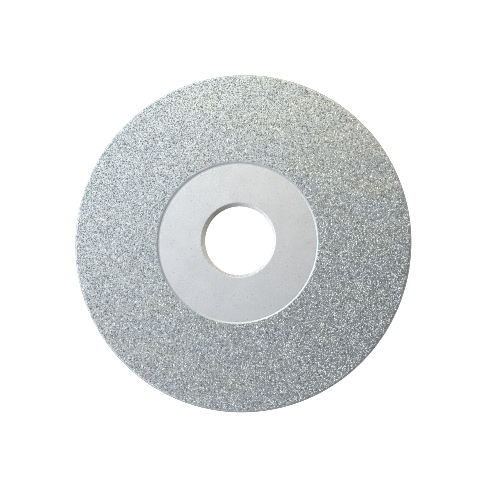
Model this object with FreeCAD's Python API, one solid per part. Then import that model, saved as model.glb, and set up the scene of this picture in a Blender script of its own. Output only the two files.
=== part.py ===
import FreeCAD, Part
import math
import os

# Electroplated diamond grinding disc, lying on its back with its coated face up.
# The spin axis is +Z, and the origin is the centre of the bore on the back face.
# Lengths are millimetres.

# Steel core: a flat blank cut from sheet, with its edges broken.
outer_diameter = 100.0
core_thickness = 2.4
arbor_diameter = 20.0          # the spindle that the disc is made for
arbor_slack = 0.2              # radial gap round that spindle
bore_front_chamfer = 0.9       # the same across and down
bore_back_chamfer = 0.25
rim_front_radius = 0.45
rim_back_radius = 0.3

# Coated land: the ring of the front face outside the plating mask. The mask was set
# by hand, so the bare hub that it left is off the spin axis.
hub_face_diameter = 46.6
hub_shift_x = -0.33
hub_shift_y = -0.79
etch_depth = 0.05              # the land is etched before it is plated

# Nickel bond: plated over the land, thinning out towards both of its edges.
bond_thickness = 0.22
bond_inner_run = 0.45          # width of the slope down to the hub
bond_outer_run = 0.12          # width of the slope down to the rim

# Diamond grit: the exposed tips of the grains, as one ring of their mean height.
grain_exposure = 0.16
grain_inner_margin = 0.45      # bare nickel between the inner slope and the grains
grain_outer_margin = 0.05
grain_drift_x = -0.27          # the grains' inner edge from the hub's centre
grain_drift_y = 0.29

spin_axis = FreeCAD.Vector(0, 0, 1)
outer_radius = outer_diameter / 2
bore_radius = arbor_diameter / 2 + arbor_slack
land_outer_radius = outer_radius - rim_front_radius
hub_face_radius = hub_face_diameter / 2
hub_centre = FreeCAD.Vector(hub_shift_x, hub_shift_y, 0)
grain_centre = hub_centre + FreeCAD.Vector(grain_drift_x, grain_drift_y, 0)
land_height = core_thickness - etch_depth
bond_height = land_height + bond_thickness
full_circle = 360


def profile_point(radius, height):
    """A point of a turned outline, in the XZ half-plane."""
    return FreeCAD.Vector(radius, 0, height)


def turned(edges):
    """The solid that a closed outline of these edges sweeps about the spin axis."""
    face = Part.Face(Part.Wire(edges))
    return face.revolve(FreeCAD.Vector(0, 0, 0), spin_axis, full_circle)


def lines_through(points):
    """Straight edges from each point to the next."""
    return [Part.LineSegment(a, b).toShape() for a, b in zip(points, points[1:])]


def quarter_round(centre, radius, start_angle):
    """A quarter circle of the outline, turning anticlockwise from start_angle in degrees."""
    def at(angle):
        turn = math.radians(angle)
        return centre + profile_point(radius * math.cos(turn), radius * math.sin(turn))

    return Part.Arc(at(start_angle), at(start_angle + 45), at(start_angle + 90)).toShape()


def plug(centre, base_radius, base_height, top_radius, top_height):
    """A round plug, straight or tapered, that cuts the inner edge of a layer."""
    base = centre + FreeCAD.Vector(0, 0, base_height)
    if base_radius == top_radius:
        return Part.makeCylinder(base_radius, top_height - base_height, base, spin_axis)
    return Part.makeCone(base_radius, top_radius, top_height - base_height, base, spin_axis)


def steel_core():
    """The blank with its chamfered bore, rounded rim and etched land."""
    back_round = profile_point(outer_radius - rim_back_radius, rim_back_radius)
    front_round = profile_point(land_outer_radius, core_thickness - rim_front_radius)
    bore_side = [
        profile_point(land_outer_radius, core_thickness),
        profile_point(bore_radius + bore_front_chamfer, core_thickness),
        profile_point(bore_radius, core_thickness - bore_front_chamfer),
        profile_point(bore_radius, bore_back_chamfer),
        profile_point(bore_radius + bore_back_chamfer, 0),
        profile_point(outer_radius - rim_back_radius, 0),
    ]
    rim_wall = [
        profile_point(outer_radius, rim_back_radius),
        profile_point(outer_radius, core_thickness - rim_front_radius),
    ]
    blank = turned(
        lines_through(bore_side)
        + [quarter_round(back_round, rim_back_radius, -90)]
        + lines_through(rim_wall)
        + [quarter_round(front_round, rim_front_radius, 0)]
    )
    land = Part.makeCylinder(
        outer_radius + rim_front_radius,
        core_thickness,
        FreeCAD.Vector(0, 0, land_height),
        spin_axis,
    )
    mask = plug(hub_centre, hub_face_radius, land_height, hub_face_radius, 2 * core_thickness)
    return blank.cut(land.cut(mask))


def rim_radius_at(height):
    """The core's radius at a height on the front rim's round."""
    rise = height - (core_thickness - rim_front_radius)
    return land_outer_radius + math.sqrt(rim_front_radius**2 - rise**2)


def nickel_bond():
    """The plated layer on the land, sloping down at the rim and at the hub."""
    outer = rim_radius_at(land_height)
    layer = Part.makeCone(
        outer,
        outer - bond_outer_run,
        bond_thickness,
        FreeCAD.Vector(0, 0, land_height),
        spin_axis,
    )
    hub_opening = plug(
        hub_centre,
        hub_face_radius,
        land_height,
        hub_face_radius + bond_inner_run,
        bond_height,
    )
    return layer.cut(hub_opening)


def diamond_grit():
    """The ring that the exposed grains fill, on top of the nickel."""
    outer = rim_radius_at(land_height) - bond_outer_run - grain_outer_margin
    inner = hub_face_radius + bond_inner_run + grain_inner_margin
    layer = Part.makeCylinder(
        outer, grain_exposure, FreeCAD.Vector(0, 0, bond_height), spin_axis
    )
    top_height = bond_height + grain_exposure
    return layer.cut(plug(grain_centre, inner, bond_height, inner, top_height))


pieces = {
    "steel_core": steel_core(),
    "nickel_bond": nickel_bond(),
    "diamond_grit": diamond_grit(),
}

os.makedirs("parts", exist_ok=True)
for node, shape in pieces.items():
    print(node, len(shape.Solids), "solid,", round(shape.Volume, 1), "mm3, valid:", shape.isValid())
    shape.exportStep("parts/" + node + ".step")
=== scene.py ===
import math
import bpy
import numpy as np
from mathutils import Matrix, Vector


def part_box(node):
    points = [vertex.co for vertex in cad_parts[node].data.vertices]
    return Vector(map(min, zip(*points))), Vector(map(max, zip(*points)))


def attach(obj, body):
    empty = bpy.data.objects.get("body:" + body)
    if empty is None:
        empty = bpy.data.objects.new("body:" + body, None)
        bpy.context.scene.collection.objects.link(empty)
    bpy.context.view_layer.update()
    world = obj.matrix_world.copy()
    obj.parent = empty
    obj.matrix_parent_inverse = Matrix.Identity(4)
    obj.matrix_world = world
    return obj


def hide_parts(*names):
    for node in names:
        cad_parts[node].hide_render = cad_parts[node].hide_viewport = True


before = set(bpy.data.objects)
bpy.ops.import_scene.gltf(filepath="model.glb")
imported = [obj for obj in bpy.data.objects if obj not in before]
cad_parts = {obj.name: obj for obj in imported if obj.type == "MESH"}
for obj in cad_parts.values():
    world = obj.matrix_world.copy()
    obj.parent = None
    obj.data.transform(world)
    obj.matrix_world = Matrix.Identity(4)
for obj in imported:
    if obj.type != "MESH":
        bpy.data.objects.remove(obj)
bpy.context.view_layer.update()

# Metres, in the CAD frame: the spin axis is +Z and the disc's back face lies on z = 0.
mm = 0.001
turn = 2 * math.pi
sameLevel = 0.002 * mm         # heights closer than this are one level


def linearColour(code):
    # sRGB hex to linear: the standard curve, c / 12.92 near black and a power of 2.4 above it
    parts = [int(code[i:i + 2], 16) / 255 for i in (1, 3, 5)]
    return tuple(c / 12.92 if c <= 0.04045 else ((c + 0.055) / 1.055) ** 2.4 for c in parts)


def addNode(tree, kind, settings=None, links=None):
    # one node with its settings and sockets filled in, and its inputs fed from other nodes
    node = tree.nodes.new(kind)
    for key, value in (settings or {}).items():
        if isinstance(key, int) or key in node.inputs:
            node.inputs[key].default_value = value
        else:
            setattr(node, key, value)
    for key, source in (links or {}).items():
        tree.links.new(source, node.inputs[key])
    return node


def newMaterial(name):
    material = bpy.data.materials.new(name)
    material.use_nodes = True
    material.node_tree.nodes.clear()
    return material, material.node_tree


def meshPiece(name, points, corners, sizes, materials, worn=None, smooth=True):
    # points is n by 3, corners lists every face's vertices in turn, and sizes their number per face
    mesh = bpy.data.meshes.new(name)
    mesh.vertices.add(len(points))
    mesh.vertices.foreach_set("co", np.ascontiguousarray(points, np.float32).ravel())
    mesh.loops.add(len(corners))
    mesh.loops.foreach_set("vertex_index", np.ascontiguousarray(corners, np.int32))
    mesh.polygons.add(len(sizes))
    starts = np.concatenate(([0], np.cumsum(sizes)[:-1])).astype(np.int32)
    mesh.polygons.foreach_set("loop_start", starts)
    for material in materials:
        mesh.materials.append(material)
    if worn is not None:
        mesh.polygons.foreach_set("material_index", np.ascontiguousarray(worn, np.int32))
    mesh.polygons.foreach_set("use_smooth", np.full(len(sizes), smooth))
    mesh.update(calc_edges=True)
    piece = bpy.data.objects.new(name, mesh)
    bpy.context.scene.collection.objects.link(piece)
    return piece


def ringCorners(turns, rows):
    # Quads of a closed band: vertex (i, j) joins (i, j + 1), (i + 1, j + 1) and (i + 1, j), and
    # both counts wrap round. An outline that runs outwards along the top faces out everywhere.
    i, j = np.meshgrid(np.arange(turns), np.arange(rows), indexing="ij")
    iNext, jNext = (i + 1) % turns, (j + 1) % rows
    quads = np.stack([i * rows + j, i * rows + jNext, iNext * rows + jNext, iNext * rows + j], -1)
    return quads.reshape(-1)


def ringPoints(radii, heights, turns, shift):
    # Each outline point (radius, height) goes round the axis: x = r cos a + w sx, y = r sin a + w sy,
    # where w is the point's share of the hub's offset (sx, sy)
    angle = np.linspace(0, turn, turns, endpoint=False)[:, None]
    x = radii * np.cos(angle) + shift[:, 0]
    y = radii * np.sin(angle) + shift[:, 1]
    return x, y, np.broadcast_to(heights, x.shape).copy()


def nodeVertices(node):
    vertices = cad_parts[node].data.vertices
    places = np.empty(len(vertices) * 3)
    vertices.foreach_get("co", places)
    return places.reshape(-1, 3)


def circleAt(node, height, outer=False):
    # The centre and radius of a node's inner or outer edge at one height: the middle and half the
    # width of the vertices on that side of the mean reach from the axis
    places = nodeVertices(node)
    level = places[np.abs(places[:, 2] - height) < sameLevel]
    reach = np.hypot(level[:, 0], level[:, 1])
    middle = (reach.min() + reach.max()) / 2
    edge = level[reach > middle] if outer else level[reach < middle]
    low, high = edge.min(0), edge.max(0)
    return (low + high)[:2] / 2, (high - low)[0] / 2


# Sizes from the CAD
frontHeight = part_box("steel_core")[1].z
landHeight, bondHeight = [corner.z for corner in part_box("nickel_bond")]
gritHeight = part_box("diamond_grit")[1].z
coreReach = np.hypot(*nodeVertices("steel_core")[:, :2].T)
outerRadius, boreRadius = coreReach.max(), coreReach.min()
chamferRadius = circleAt("steel_core", frontHeight)[1]
hubCentre, hubRadius = circleAt("nickel_bond", landHeight)
slopeTopRadius = circleAt("nickel_bond", bondHeight)[1]
landRadius = circleAt("nickel_bond", landHeight, outer=True)[1]
plateRadius = circleAt("nickel_bond", bondHeight, outer=True)[1]
grainCentre, grainInnerRadius = circleAt("diamond_grit", gritHeight)
grainOuterRadius = circleAt("diamond_grit", gritHeight, outer=True)[1]
backInnerRadius = circleAt("steel_core", 0.0)[1]
backOuterRadius = circleAt("steel_core", 0.0, outer=True)[1]
print("sizes read: outside radius", round(outerRadius / mm, 3), "mm, bore", round(boreRadius / mm, 3), "mm")

centredBand = 1.5 * mm         # next to the rim, where the disc's rings are true to the spin axis


def hubShare(radii):
    # How much of the hub's offset a ring takes: none at the bore, all at the hub's edge, none at
    # the rim, and straight lines between
    known = [chamferRadius, hubRadius, slopeTopRadius, landRadius - centredBand, landRadius]
    return np.interp(radii, known, [0, 1, 1, 0, 0])[:, None] * hubCentre


finishColours = {
    # each finish from its darker tone to its lighter one
    "nickelFlash": ("#bbbbbb", "#cac9c8"),
    "flashSpeck": "#8c8a88",
    # the cut edge's tones are darker than bare steel: painted shade on the rim and the bore wall
    "cutEdgeWithPaintedShade": ("#5a5959", "#787776"),
    "turned": ("#b4b3b2", "#d6d5d3"),
    # the plating's tones are partly its own and partly painted shade for the gaps between the grains
    "plating": ("#8f9293", "#c2c3c2"),
}


def toneBetween(tree, colours, fac):
    # a mix of a finish's two tones
    return addNode(tree, "ShaderNodeMix", {"data_type": "RGBA",
                                           6: (*linearColour(colours[0]), 1),
                                           7: (*linearColour(colours[1]), 1)}, {0: fac})


def mattNickelFlash():
    # Nickel flashed over fine-blasted steel: a pale grey with no mirror in it, faint cloudy
    # patches a few mm across and a scatter of darker specks 0.3 mm wide, one in every 4 mm square
    material, tree = newMaterial("mattNickelFlash")
    coords = addNode(tree, "ShaderNodeTexCoord")
    place = addNode(tree, "ShaderNodeMapping", {}, {"Vector": coords.outputs["Object"]})
    cloud = addNode(tree, "ShaderNodeTexNoise", {"Scale": 1 / (4.5 * mm), "Detail": 3.0},
                    {"Vector": place.outputs[0]})
    grain = addNode(tree, "ShaderNodeTexNoise", {"Scale": 1 / (0.35 * mm), "Detail": 2.0},
                    {"Vector": place.outputs[0]})
    cell = addNode(tree, "ShaderNodeTexVoronoi", {"voronoi_dimensions": "2D", "Scale": 1 / (4.2 * mm),
                                                  "Randomness": 1.0},
                   {"Vector": place.outputs[0]})
    speck = addNode(tree, "ShaderNodeMapRange", {"From Min": 0.025, "From Max": 0.05,
                                                 "To Min": 0.6, "To Max": 0.0},
                    {"Value": cell.outputs["Distance"]})
    tone = toneBetween(tree, finishColours["nickelFlash"], cloud.outputs["Fac"])
    fine = addNode(tree, "ShaderNodeMix", {"data_type": "RGBA", "blend_type": "MULTIPLY", 0: 0.12},
                   {6: tone.outputs[2], 7: grain.outputs["Fac"]})
    marked = addNode(tree, "ShaderNodeMix", {"data_type": "RGBA",
                                             7: (*linearColour(finishColours["flashSpeck"]), 1)},
                     {0: speck.outputs[0], 6: fine.outputs[2]})
    bump = addNode(tree, "ShaderNodeBump", {"Strength": 0.08, "Distance": 0.02 * mm},
                   {"Height": grain.outputs["Fac"]})
    shader = addNode(tree, "ShaderNodeBsdfPrincipled", {"Metallic": 1.0, "Roughness": 0.55},
                     {"Base Color": marked.outputs[2], "Normal": bump.outputs[0]})
    addNode(tree, "ShaderNodeOutputMaterial", {}, {"Surface": shader.outputs[0]})
    return material


def cutSteelEdgeWithPaintedShade():
    # Bare steel as the press left it: dark grey with a low shine and fine lines round the edge. The dark
    # grey is darker than bare steel is: it is painted shade on the rim and the bore wall, all round
    material, tree = newMaterial("cutSteelEdgeWithPaintedShade")
    coords = addNode(tree, "ShaderNodeTexCoord")
    place = addNode(tree, "ShaderNodeMapping", {"Scale": (1.0, 1.0, 14.0)},
                    {"Vector": coords.outputs["Object"]})
    lines = addNode(tree, "ShaderNodeTexNoise", {"Scale": 1 / (0.9 * mm), "Detail": 4.0},
                    {"Vector": place.outputs[0]})
    tone = toneBetween(tree, finishColours["cutEdgeWithPaintedShade"], lines.outputs["Fac"])
    bump = addNode(tree, "ShaderNodeBump", {"Strength": 0.3, "Distance": 0.02 * mm},
                   {"Height": lines.outputs["Fac"]})
    shader = addNode(tree, "ShaderNodeBsdfPrincipled", {"Metallic": 1.0, "Roughness": 0.38},
                     {"Base Color": tone.outputs[2], "Normal": bump.outputs[0]})
    addNode(tree, "ShaderNodeOutputMaterial", {}, {"Surface": shader.outputs[0]})
    return material


def turnedSteel():
    # Steel turned with a pointed tool: bright and smooth, with a faint smear along it. The rings the
    # tool left are in the mesh
    material, tree = newMaterial("turnedSteel")
    coords = addNode(tree, "ShaderNodeTexCoord")
    place = addNode(tree, "ShaderNodeMapping", {}, {"Vector": coords.outputs["Object"]})
    smear = addNode(tree, "ShaderNodeTexNoise", {"Scale": 1 / (0.8 * mm), "Detail": 3.0},
                    {"Vector": place.outputs[0]})
    tone = toneBetween(tree, finishColours["turned"], smear.outputs["Fac"])
    shader = addNode(tree, "ShaderNodeBsdfPrincipled", {"Metallic": 1.0, "Roughness": 0.24},
                     {"Base Color": tone.outputs[2]})
    addNode(tree, "ShaderNodeOutputMaterial", {}, {"Surface": shader.outputs[0]})
    return material


def platedNickelAndGapShade():
    # Electroplated nickel: a satin grey skin with nodules about 0.3 mm across. Its grey, darker than the
    # hub's flash, is partly the plating's own tone and partly painted shade for the gaps between the grains
    material, tree = newMaterial("platedNickelAndGapShade")
    coords = addNode(tree, "ShaderNodeTexCoord")
    place = addNode(tree, "ShaderNodeMapping", {}, {"Vector": coords.outputs["Object"]})
    nodules = addNode(tree, "ShaderNodeTexNoise", {"Scale": 1 / (0.3 * mm), "Detail": 2.0},
                      {"Vector": place.outputs[0]})
    tone = toneBetween(tree, finishColours["plating"], nodules.outputs["Fac"])
    bump = addNode(tree, "ShaderNodeBump", {"Strength": 0.3, "Distance": 0.03 * mm},
                   {"Height": nodules.outputs["Fac"]})
    shader = addNode(tree, "ShaderNodeBsdfPrincipled", {"Metallic": 1.0, "Roughness": 0.36},
                     {"Base Color": tone.outputs[2], "Normal": bump.outputs[0]})
    addNode(tree, "ShaderNodeOutputMaterial", {}, {"Surface": shader.outputs[0]})
    return material


grainColours = [
    # along a grain's shade, from the darkest stones to the clearest. The spread to near black and to white
    # is partly the stones' own tone and partly painted glints and painted shade on the facets
    (0.0, "#191e1f"),
    (0.25, "#545b5a"),
    (0.5, "#909795"),
    (0.75, "#c7ccc4"),
    (1.0, "#ffffff"),
]
grainCasts = ["#d9e4f2", "#f1efe2"]    # bluish and yellowish stones


def syntheticDiamond():
    # Crushed synthetic diamond: hard bright facets on pale grey-green stones. Every grain has a shade and a
    # cast of its own, and the cast drifts over some millimetres. The shade is partly the stone's own tone
    # and partly painted glints and painted shade, so the coat glitters under any lamp
    material, tree = newMaterial("syntheticDiamond")
    shade = addNode(tree, "ShaderNodeAttribute", {"attribute_name": "grainToneAndGlint"})
    cast = addNode(tree, "ShaderNodeAttribute", {"attribute_name": "grainCast"})
    ramp = addNode(tree, "ShaderNodeValToRGB", {}, {"Fac": shade.outputs["Fac"]})
    for spot, code in grainColours[1:-1]:
        ramp.color_ramp.elements.new(spot)
    for element, (spot, code) in zip(ramp.color_ramp.elements, grainColours):
        element.position = spot
        element.color = (*linearColour(code), 1)
    tone = toneBetween(tree, grainCasts, cast.outputs["Fac"])
    colour = addNode(tree, "ShaderNodeMix", {"data_type": "RGBA", "blend_type": "MULTIPLY", 0: 1.0},
                     {6: ramp.outputs["Color"], 7: tone.outputs[2]})
    shader = addNode(tree, "ShaderNodeBsdfPrincipled", {"IOR": 2.42, "Roughness": 0.28},
                     {"Base Color": colour.outputs[2]})
    addNode(tree, "ShaderNodeOutputMaterial", {}, {"Surface": shader.outputs[0]})
    return material


steelDisc = {
    "turns": 720,
    "hubRows": 50,
    "softEdge": 0.05 * mm,      # radius left on each turned corner
    "fineEdge": 0.02 * mm,      # radius left on the rim's and the step's corners
    "ridgeDepth": 0.012 * mm,   # tool marks on the chamfer
    "ridgeCount": 2.5,
    "rollHeight": 0.006 * mm,   # the sheet's waves under the hub
    "rollLengths": (7 * mm, 9 * mm),
    "pits": 70,
    "pitDepth": (0.004 * mm, 0.014 * mm),
    "pitWidth": (0.12 * mm, 0.24 * mm),
    "nicks": [(12.45 * mm, 187.0, 0.3 * mm), (11.45 * mm, 197.5, 0.26 * mm)],  # radius, angle, width
    "nickDepth": 0.07 * mm,
    "nickLip": 0.6,             # of the depth, the burr raised round a nick
    "sharpAngle": 32,           # degrees, past which an edge isn't smoothed over
    "seed": 11,
}


def cornerRow(before, corner, after, radius, steps=3):
    # A corner softened by a curve: the quadratic blend (1-t)^2 A + 2t(1-t) C + t^2 B, where A and B
    # lie the given radius from the corner C along its two runs
    corner = np.array(corner)
    start = corner + radius * (before - corner) / np.linalg.norm(before - corner)
    end = corner + radius * (after - corner) / np.linalg.norm(after - corner)
    t = np.linspace(0, 1, steps)[:, None]
    return (1 - t) ** 2 * start + 2 * t * (1 - t) * corner + t ** 2 * end


def outlineRows(corners):
    # Rows of a closed outline from its corners (radius, height, softness, rows in the run after it),
    # and the number of the corner that each row belongs to
    points = np.array([corner[:2] for corner in corners])
    rows, marks = [], []
    for k, (radius, height, softness, count) in enumerate(corners):
        after, beyond = (k + 1) % len(points), (k + 2) % len(points)
        here = cornerRow(points[k - 1], points[k], points[after], softness)
        follow = cornerRow(points[k], points[after], points[beyond], corners[after][2])[0]
        t = np.linspace(0, 1, count + 2)[1:-1, None]
        run = here[-1] + t * (follow - here[-1])
        rows += [here, run]
        marks += [np.full(len(here), k), np.full(len(run), k)]
    return np.concatenate(rows), np.concatenate(marks)


def discOutline():
    # The disc's half section, outwards over the front and back along the underside, with each
    # corner's finish: 0 is the flash, 1 the cut edge with its painted shade and 2 the turned chamfer
    soft, fine = steelDisc["softEdge"], steelDisc["fineEdge"]
    rimFront, backRound = outerRadius - landRadius, outerRadius - backOuterRadius
    chamferDepth, backChamfer = chamferRadius - boreRadius, backInnerRadius - boreRadius
    roundTurn = np.radians([67.5, 45, 22.5])
    frontArc = [(landRadius + rimFront * math.cos(a), frontHeight - rimFront + rimFront * math.sin(a),
                 fine, 0, 1) for a in roundTurn]
    backArc = [(backOuterRadius + backRound * math.cos(a), backRound - backRound * math.sin(a),
                fine, 0, 1) for a in roundTurn[::-1]]
    corners = [
        (chamferRadius, frontHeight, soft, steelDisc["hubRows"], 0),
        (hubRadius, frontHeight, fine / 2, 0, 0),
        (hubRadius + fine, landHeight, fine / 4, 6, 0),
        (landRadius - 10 * fine, landHeight, fine, 0, 0),
        *frontArc,
        (outerRadius, frontHeight - rimFront, fine, 2, 1),
        (outerRadius, backRound, fine, 0, 1),
        *backArc,
        (backOuterRadius, 0.0, fine, 16, 0),
        (backInnerRadius, 0.0, soft, 0, 0),
        (boreRadius, backChamfer, soft, 4, 1),
        (boreRadius, frontHeight - chamferDepth, soft, 7, 2),
    ]
    rows, marks = outlineRows([corner[:4] for corner in corners])
    finishes = np.array([corner[4] for corner in corners])
    return rows, marks, finishes[marks], chamferDepth, rimFront


def makeSteelDisc(flash, edge, turned):
    # The outline goes round the axis. The front's rings lean towards the hub's centre
    soft = steelDisc["softEdge"]
    rows, marks, finish, chamferDepth, rimFront = discOutline()
    radii, heights = rows.T
    onFront = (marks <= 3) | (heights > frontHeight - rimFront)
    share = np.where(onFront[:, None], hubShare(radii), 0)
    x, y, z = ringPoints(radii, heights, steelDisc["turns"], share)
    reach = np.hypot(x, y)
    rng = np.random.default_rng(steelDisc["seed"])

    # Tool marks on the chamfer: its face moves by a sine of the way along it
    chamfer = (marks == marks.max()) & (radii > boreRadius + soft) & (radii < chamferRadius - soft)
    along = (reach - boreRadius) / chamferDepth
    ridge = steelDisc["ridgeDepth"] * np.sin(turn * steelDisc["ridgeCount"] * along)
    z += np.where(chamfer, ridge, 0)

    # Hub: a shallow roll of the sheet, pits as sums of bells, and nicks as a bell with a raised lip
    onHub = (marks == 0) & (radii > chamferRadius + soft) & (radii < hubRadius - 4 * soft)
    rollX, rollY = steelDisc["rollLengths"]
    roll = steelDisc["rollHeight"] * np.sin(x / rollX + 1.3) * np.cos(y / rollY)
    dent = np.zeros_like(z)
    margin = 20 * soft
    for k in range(steelDisc["pits"]):
        r = math.sqrt(rng.uniform((chamferRadius + margin) ** 2, (hubRadius - margin) ** 2))
        a = rng.uniform(0, turn)
        depth, width = rng.uniform(*steelDisc["pitDepth"]), rng.uniform(*steelDisc["pitWidth"])
        off = (x - r * math.cos(a)) ** 2 + (y - r * math.sin(a)) ** 2
        dent -= depth * np.exp(-off / (2 * width ** 2))
    for r, degrees, width in steelDisc["nicks"]:
        a = math.radians(degrees)
        off = np.sqrt((x - r * math.cos(a)) ** 2 + (y - r * math.sin(a)) ** 2) / width
        lip = steelDisc["nickLip"] * np.exp(-(off - 1.1) ** 2 / 0.1)
        dent += steelDisc["nickDepth"] * (lip - np.exp(-off ** 2))
    z += np.where(onHub, roll + dent, 0)

    points = np.stack([x, y, z], -1).reshape(-1, 3)
    corners = ringCorners(steelDisc["turns"], len(radii))
    worn = np.tile(finish, steelDisc["turns"])
    disc = meshPiece("steelDisc", points, corners, np.full(len(corners) // 4, 4),
                     [flash, edge, turned], worn)
    disc.data.set_sharp_from_angle(angle=math.radians(steelDisc["sharpAngle"]))
    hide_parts("steel_core")
    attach(disc, "root")
    return disc


nickelPlate = {
    "turns": 640,
    "rows": 120,
    "slopeRows": 11,
    "paleRows": 4,             # of them, the ones that wear the hub's finish
    "slopeLap": 0.08 * mm,     # how far the plating feathers in over the hub
    "sunk": 0.03 * mm,         # how far the skin lies under the coat's full height
    "feather": 0.012 * mm,     # how far under the hub's face that edge dips
    "nodule": 0.012 * mm,      # height of the plating's ups and downs between the grains
    "underRows": 8,
    "sharpAngle": 60,          # degrees
    "seed": 23,
}


def makeNickelPlate(nickel, flash):
    # The plated layer. Its slope goes from the hub's circle to the grains' one and climbs as the
    # smooth step 3 t^2 - 2 t^3; the top is level but lumpy, and the last run falls off to the rim
    facts = nickelPlate
    t = np.linspace(0, 1, facts["slopeRows"])
    topHeight = bondHeight - facts["sunk"]
    slopeStart = hubRadius - facts["slopeLap"]
    slopeRadii = slopeStart + (grainInnerRadius - slopeStart) * t
    feather = frontHeight - facts["feather"]
    slopeHeights = feather + (topHeight - feather) * t * t * (3 - 2 * t)
    topRadii = np.linspace(grainInnerRadius, plateRadius, facts["rows"])[1:]
    underRadii = np.linspace(landRadius, hubRadius, facts["underRows"])
    radii = np.concatenate([slopeRadii, topRadii, underRadii])
    heights = np.concatenate([slopeHeights, np.full(len(topRadii), topHeight),
                              np.full(len(underRadii), landHeight)])
    known = [hubRadius, grainInnerRadius, plateRadius]
    centre = [np.interp(radii, known, [hubCentre[k], grainCentre[k], 0]) for k in (0, 1)]
    x, y, z = ringPoints(radii, heights, facts["turns"], np.stack(centre, -1))
    rng = np.random.default_rng(facts["seed"])
    lumps = rng.normal(size=z.shape).clip(-2, 2)
    lumps = (lumps + np.roll(lumps, 1, 0) + np.roll(lumps, 1, 1)) / math.sqrt(3)
    onTop = (heights > topHeight - 0.001 * mm) & (radii < plateRadius - 0.1 * mm)
    z += np.where(onTop, facts["nodule"] * lumps, 0)
    points = np.stack([x, y, z], -1).reshape(-1, 3)
    corners = ringCorners(facts["turns"], len(radii))
    onSlope = np.tile(np.arange(len(radii)) < facts["paleRows"], facts["turns"])
    plate = meshPiece("nickelPlate", points, corners, np.full(len(corners) // 4, 4), [nickel, flash],
                      onSlope)
    plate.data.set_sharp_from_angle(angle=math.radians(facts["sharpAngle"]))
    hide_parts("nickel_bond")
    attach(plate, "root")
    return plate


diamondGrains = {
    "pitch": 0.38 * mm,        # between neighbours, for a 46 grit
    "width": 0.42 * mm,
    "widthSpread": 0.16,
    "stretch": 0.28,           # how far a grain's three widths differ
    "chipped": 0.13,           # how far its corners are off a perfect crystal
    "jitter": 0.27,            # of a pitch
    "lowestTip": 0.5,          # of the full exposure
    "hubGap": 0.2,             # of half a width, from the inner circle to the nearest grain's middle
    "rimGap": 0.4,
    "toneAndGlintPowers": (1.6, 1.4),      # the beta distribution's two powers
    "castSpread": 0.15,
    "castDrift": 0.25,
    "driftLength": 9 * mm,
    "driftWaves": 10,
    "groups": 5,
    "seed": 5,
}


def crystalTemplate():
    # A cuboctahedron: corners at the middles of a cube's edges, a triangle for each of the cube's
    # corners and a square for each of its sides, all wound to face outwards
    corners = np.array([(a, b, 0) for a in (1, -1) for b in (1, -1)]
                       + [(a, 0, b) for a in (1, -1) for b in (1, -1)]
                       + [(0, a, b) for a in (1, -1) for b in (1, -1)], float)
    facings = [np.array([a, b, c]) for a in (1, -1) for b in (1, -1) for c in (1, -1)]
    facings += [s * np.eye(3)[k] for k in range(3) for s in (1, -1)]
    faces = []
    for facing in facings:
        height = corners @ facing
        members = np.flatnonzero(height > height.max() - 0.01)
        first = np.cross(facing, [0.3, 0.5, 0.8])
        second = np.cross(facing, first)
        around = np.arctan2(corners[members] @ second / np.linalg.norm(second),
                            corners[members] @ first / np.linalg.norm(first))
        faces.append(members[np.argsort(around)])
    return corners / math.sqrt(2), faces


def randomTurns(rng, count):
    # Rotation matrices from unit quaternions of four normal numbers, which point every way alike
    four = rng.normal(size=(4, count))
    w, x, y, z = four / np.linalg.norm(four, axis=0)
    return np.stack([
        1 - 2 * (y * y + z * z), 2 * (x * y - w * z), 2 * (x * z + w * y),
        2 * (x * y + w * z), 1 - 2 * (x * x + z * z), 2 * (y * z - w * x),
        2 * (x * z - w * y), 2 * (y * z + w * x), 1 - 2 * (x * x + y * y),
    ], -1).reshape(-1, 3, 3)


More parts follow.
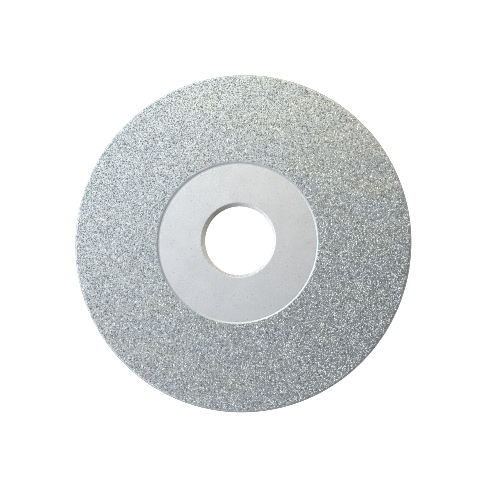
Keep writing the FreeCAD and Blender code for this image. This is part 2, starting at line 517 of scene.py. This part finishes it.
def makeDiamondGrains(diamond):
    # Grain k sits on a sunflower spiral, at radius pitch sqrt(k / pi) and k golden angles round,
    # moved a little at random, so that the layer is even but shows no rows
    facts = diamondGrains
    rng = np.random.default_rng(facts["seed"])
    k = np.arange(int(math.pi * grainOuterRadius ** 2 / facts["pitch"] ** 2) + 400)
    radius = facts["pitch"] * np.sqrt(k / math.pi)
    angle = k * math.pi * (3 - math.sqrt(5))
    place = np.stack([radius * np.cos(angle), radius * np.sin(angle)], -1)
    place += facts["jitter"] * facts["pitch"] * rng.normal(size=place.shape)
    halfWidth = facts["width"] / 2
    insideRim = np.hypot(*place.T) < grainOuterRadius - facts["rimGap"] * halfWidth
    outsideHub = np.hypot(*(place - grainCentre).T) > grainInnerRadius + facts["hubGap"] * halfWidth
    place = place[insideRim & outsideHub]
    count = len(place)

    corners, faces = crystalTemplate()
    size = halfWidth * np.exp(facts["widthSpread"] * rng.normal(size=(count, 1, 1)).clip(-2, 2))
    stretch = np.exp(facts["stretch"] * rng.uniform(-1, 1, size=(count, 1, 3)))
    chips = 1 + facts["chipped"] * rng.uniform(-1, 1, size=(count, len(corners), 1))
    shaped = corners * chips * stretch * size
    turned = np.einsum("gij,gvj->gvi", randomTurns(rng, count), shaped)
    exposure = gritHeight - bondHeight
    tip = bondHeight + exposure * rng.uniform(facts["lowestTip"], 1, size=count)
    turned[:, :, 2] += (tip - turned[:, :, 2].max(1))[:, None]
    turned[:, :, :2] += place[:, None]
    # a grain's shade: partly its own tone, partly painted glints and painted shade
    shade = rng.beta(*facts["toneAndGlintPowers"], size=count)
    # The cast is random, with a drift made of long waves that cross one another
    waves = [rng.uniform(-1, 1, 2) * turn / facts["driftLength"] for _ in range(facts["driftWaves"])]
    drift = sum(np.cos(place @ wave + rng.uniform(0, turn)) for wave in waves)
    drift /= math.sqrt(facts["driftWaves"])
    cast = (0.5 + facts["castSpread"] * rng.normal(size=count) + facts["castDrift"] * drift).clip(0, 1)

    sizes = np.array([len(f) for f in faces])
    loops = np.concatenate(faces)
    turns = np.concatenate([np.arange(n) / n for n in sizes]) * turn
    cellCorners = 0.4 * np.stack([np.cos(turns), np.sin(turns)], -1)
    pieces = []
    for g in range(facts["groups"]):
        mine = np.flatnonzero(np.arange(count) * facts["groups"] // count == g)
        base = np.arange(len(mine))[:, None] * len(corners)
        piece = meshPiece("diamondGrains" + str(g + 1), turned[mine].reshape(-1, 3),
                          (base + loops).ravel(), np.tile(sizes, len(mine)), [diamond], smooth=False)
        for name, values in (("grainToneAndGlint", shade), ("grainCast", cast)):
            layer = piece.data.attributes.new(name, "FLOAT", "POINT")
            layer.data.foreach_set("value", np.repeat(values[mine], len(corners)).astype(np.float32))
        # On its bake map a grain has one square cell, which all its faces share, because its colour
        # is the same all round
        across = math.ceil(math.sqrt(len(mine)))
        cell = np.stack([np.arange(len(mine)) % across, np.arange(len(mine)) // across], -1)
        plan = (cell[:, None] + 0.5 + cellCorners) / across
        bakeMap = piece.data.uv_layers.new(name="OFBake")
        bakeMap.uv.foreach_set("vector", plan.astype(np.float32).ravel())
        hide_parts("diamond_grit")
        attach(piece, "root")
        pieces.append(piece)
    print("grains:", count)
    return pieces


stageSet = {
    "floorReach": 1.6,         # metres from the disc to the wall that the floor curves up into
    "coveRadius": 0.5,
    "wallHeight": 1.8,
    "floorTurns": 96,
    "floorColour": "#f4f4f3",
    "floorGlow": 0.75,         # the floor is the lit top of a light table, so it takes no dark shadow
    "overhead": ("#c0ccff", 0.3),
    "halfWayBase": 0.15,       # what the room gives half-way up where no window is
    "roomStops": 8,            # directions in which the room's brightness is worked out
}

roomWindows = [
    # soft windows round the disc: degrees round from +X, strength at the horizon and half-way up,
    # narrowness, colour
    (200, 1.1, 2.75, 4.0, "#f5faff"),
    (150, 2.6, 0.0, 2.5, "#f6faff"),
    (25, 1.2, 0.0, 3.0, "#fffaf0"),
]

softLights = [
    # name, place, width, watts, colour
    ("keyLight", (-0.21, 0.20, 0.36), 0.45, 0.8, "#e4f4ff"),
    ("farLight", (0.05, 0.24, 0.24), 0.4, 0.6, "#fff0d0"),
]

viewFacts = {
    "tilt": 8.14,              # degrees off the spin axis
    "towards": -37.0,          # degrees round from +X
    "distance": 188.5 * mm,
    "aim": (0.555 * mm, -0.04 * mm),
    "lens": 47.92,             # millimetres on a 36 mm sensor
}


def makeFloor():
    # A flat round floor whose outline goes through a quarter circle into an upright wall: radius
    # reach - cove + cove sin a, height cove - cove cos a
    reach, cove, turns = stageSet["floorReach"], stageSet["coveRadius"], stageSet["floorTurns"]
    drop = -0.02 * mm
    bend = np.linspace(0, math.pi / 2, 12)
    radii = np.append(reach - cove + cove * np.sin(bend), reach)
    heights = np.append(cove - cove * np.cos(bend), stageSet["wallHeight"]) + drop
    points = np.stack(ringPoints(radii, heights, turns, np.zeros((len(radii), 2))), -1).reshape(-1, 3)
    quads = ringCorners(turns, len(radii)).reshape(turns, len(radii), 4)[:, :-1].reshape(-1)
    middle = np.arange(turns) * len(radii)
    corners = np.concatenate([quads, middle])
    sizes = np.append(np.full(len(quads) // 4, 4), turns)
    material, tree = newMaterial("litAcrylic")
    shader = addNode(tree, "ShaderNodeBsdfPrincipled",
                     {"Base Color": (*linearColour(stageSet["floorColour"]), 1), "Roughness": 0.9,
                      "Specular IOR Level": 0.1, "Emission Color": (1, 1, 1, 1),
                      "Emission Strength": stageSet["floorGlow"]})
    addNode(tree, "ShaderNodeOutputMaterial", {}, {"Surface": shader.outputs[0]})
    floor = meshPiece("floor", points, corners, sizes, [material])
    floor.visible_glossy = False
    floor.visible_diffuse = False
    floor.visible_shadow = False


def roomRing(level):
    # Colours round the room, anticlockwise from -X. A window adds its strength times
    # ((1 + cos(angle off it)) / 2) to the power of its narrowness, at the horizon (level 0) or
    # half-way up (level 1)
    angle = np.linspace(-math.pi, math.pi, stageSet["roomStops"] + 1)[:, None]
    ring = np.full((len(angle), 3), level * stageSet["halfWayBase"])
    for degrees, low, halfWay, narrowness, code in roomWindows:
        near = (1 + np.cos(angle - math.radians(degrees))) / 2
        ring += (low, halfWay)[level] * near ** narrowness * np.array(linearColour(code))
    return ring


def makeLights():
    for name, place, size, watts, code in softLights:
        lamp = bpy.data.lights.new(name, "AREA")
        lamp.shape, lamp.size, lamp.energy = "DISK", size, watts
        lamp.color = linearColour(code)
        holder = bpy.data.objects.new(name, lamp)
        bpy.context.scene.collection.objects.link(holder)
        holder.location = place
        holder.rotation_euler = (-holder.location).to_track_quat("-Z", "Y").to_euler()
        holder.visible_camera = False
    world = bpy.data.worlds.new("softRoom")
    bpy.context.scene.world = world
    world.use_nodes = True
    tree = world.node_tree
    tree.nodes.clear()
    coords = addNode(tree, "ShaderNodeTexCoord")
    parts = addNode(tree, "ShaderNodeSeparateXYZ", {}, {0: coords.outputs["Generated"]})
    around = addNode(tree, "ShaderNodeMath", {"operation": "ARCTAN2"},
                     {0: parts.outputs["Y"], 1: parts.outputs["X"]})
    share = addNode(tree, "ShaderNodeMapRange", {"From Min": -math.pi, "From Max": math.pi},
                    {"Value": around.outputs[0]})
    height = addNode(tree, "ShaderNodeMath", {"operation": "ARCSINE"}, {0: parts.outputs["Z"]})
    # A ramp holds no colour over 1, so the room is painted against its brightest part
    rings = [roomRing(0), roomRing(1)]
    roomLight = float(max(ring.max() for ring in rings))
    ramps = []
    for name, ring in zip(("low", "halfWay"), rings):
        ramp = addNode(tree, "ShaderNodeValToRGB", {"name": name}, {"Fac": share.outputs[0]})
        ramp.color_ramp.interpolation = "B_SPLINE"
        for k in range(1, len(ring) - 1):
            ramp.color_ramp.elements.new(k / (len(ring) - 1))
        for k, (element, colour) in enumerate(zip(ramp.color_ramp.elements, ring / roomLight)):
            element.position = k / (len(ring) - 1)
            element.color = (*colour, 1)
        ramps.append(ramp)
    code, strength = stageSet["overhead"]
    overhead = tuple(c * strength / roomLight for c in linearColour(code))
    lowShare = addNode(tree, "ShaderNodeMapRange", {"From Min": 0.0, "From Max": math.pi / 4},
                       {"Value": height.outputs[0]})
    topShare = addNode(tree, "ShaderNodeMapRange", {"From Min": math.pi / 4, "From Max": math.pi / 2},
                       {"Value": height.outputs[0]})
    sides = addNode(tree, "ShaderNodeMix", {"data_type": "RGBA"},
                    {0: lowShare.outputs[0], 6: ramps[0].outputs["Color"], 7: ramps[1].outputs["Color"]})
    tone = addNode(tree, "ShaderNodeMix", {"data_type": "RGBA", "name": "overhead", 7: (*overhead, 1)},
                   {0: topShare.outputs[0], 6: sides.outputs[2]})
    glow = addNode(tree, "ShaderNodeBackground", {"Strength": roomLight}, {"Color": tone.outputs[2]})
    addNode(tree, "ShaderNodeOutputWorld", {}, {"Surface": glow.outputs[0]})


def makeCamera():
    # The camera looks back along a line that leans off the spin axis, with +Y up in its view
    lean, towards = math.radians(viewFacts["tilt"]), math.radians(viewFacts["towards"])
    back = Vector((math.sin(lean) * math.cos(towards), math.sin(lean) * math.sin(towards),
                   math.cos(lean)))
    across = Vector((0, 1, 0)).cross(back).normalized()
    up = back.cross(across)
    camera = bpy.data.objects.new("camera", bpy.data.cameras.new("camera"))
    bpy.context.scene.collection.objects.link(camera)
    aim = Vector((*viewFacts["aim"], frontHeight))
    camera.matrix_world = Matrix.Translation(aim + viewFacts["distance"] * back) @ Matrix(
        (across, up, back)).transposed().to_4x4()
    camera.data.lens = viewFacts["lens"]
    camera.data.sensor_width = 36
    camera.data.clip_start = 0.01
    bpy.context.scene.camera = camera


makeCamera()
makeFloor()
makeLights()
print("set, light and camera placed")
flash = mattNickelFlash()
makeSteelDisc(flash, cutSteelEdgeWithPaintedShade(), turnedSteel())
print("steel disc made")
makeNickelPlate(platedNickelAndGapShade(), flash)
print("nickel plate made")
makeDiamondGrains(syntheticDiamond())
print("diamond grains made")
bpy.context.scene.view_settings.view_transform = "Standard"
# The coat glitters so finely that smoothing would wipe it out
bpy.context.scene.cycles.use_denoising = False
bpy.context.scene.cycles.filter_width = 1.0
